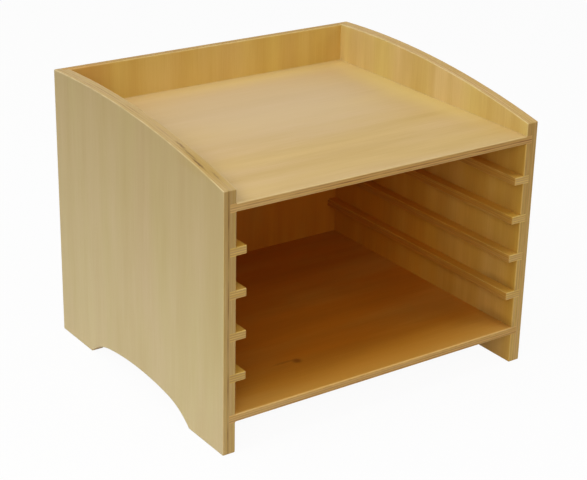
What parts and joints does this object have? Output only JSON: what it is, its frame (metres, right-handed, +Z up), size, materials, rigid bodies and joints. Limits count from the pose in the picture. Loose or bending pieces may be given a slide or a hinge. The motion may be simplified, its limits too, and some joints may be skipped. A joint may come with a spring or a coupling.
{
  "type": "puzzle storage cabinet",
  "caption": "Open-fronted plywood cabinet with runners that hold puzzle boards flat one above the other, a lipped tray on top and arched feet.",
  "frame": {"origin": "centre of the cabinet's footprint, on the ground", "axes": "+Z up, -Y out of the open front, +X to the right for someone in front of the cabinet"},
  "size_m": [0.4, 0.348, 0.3178],
  "materials": {
    "thick_plywood": "15 mm birch plywood of nine plies, sanded, clear lacquer with a satin sheen",
    "thin_plywood": "9 mm birch plywood of seven plies, sanded, clear lacquer with a satin sheen",
    "pin_steel": "bright drawn steel wire, heads filed flush"
  },
  "bodies": {
    "root": {"left_side": "thick_plywood", "right_side": "thick_plywood", "floor_panel": "thin_plywood", "top_shelf": "thin_plywood", "left_runner_1": "thin_plywood", "left_runner_2": "thin_plywood", "left_runner_3": "thin_plywood", "left_runner_4": "thin_plywood", "right_runner_1": "thin_plywood", "right_runner_2": "thin_plywood", "right_runner_3": "thin_plywood", "right_runner_4": "thin_plywood", "back_panel": "thin_plywood", "back_pins": "pin_steel"}
  },
  "joints": []
}
